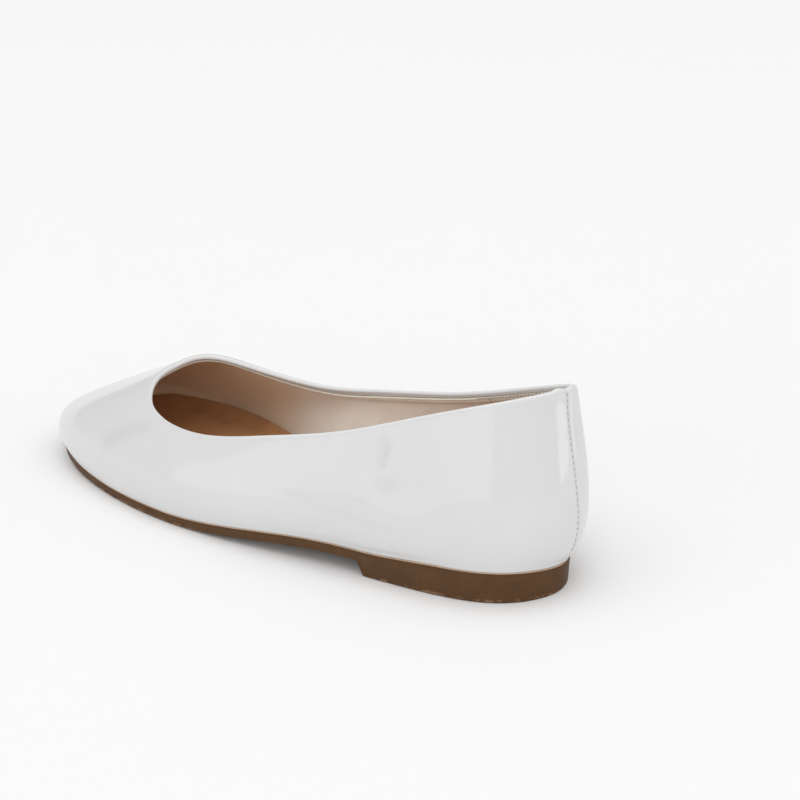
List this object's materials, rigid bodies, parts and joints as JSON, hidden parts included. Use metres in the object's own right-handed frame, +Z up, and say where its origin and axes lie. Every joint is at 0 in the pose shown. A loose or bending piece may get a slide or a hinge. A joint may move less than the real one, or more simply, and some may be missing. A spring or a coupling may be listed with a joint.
{
  "type": "ballet flat",
  "caption": "Slip-on low-heeled flat shoe, left foot: hollow lasted upper with an open collar and almond toe, moulded outsole with a low heel block, and padded insole.",
  "frame": {"origin": "the middle of the shoe's bounding box, on the floor under the sole", "axes": "-Y from heel to toe, +X to the outer (lateral) side, +Z up"},
  "size_m": [0.08, 0.2512, 0.0654],
  "materials": {
    "patent_white": "glossy patent",
    "rubber_brown": "satin",
    "sock_tan": "matt"
  },
  "bodies": {
    "root": {"upper": "patent_white", "outsole": "rubber_brown", "insole": "sock_tan"}
  },
  "joints": []
}
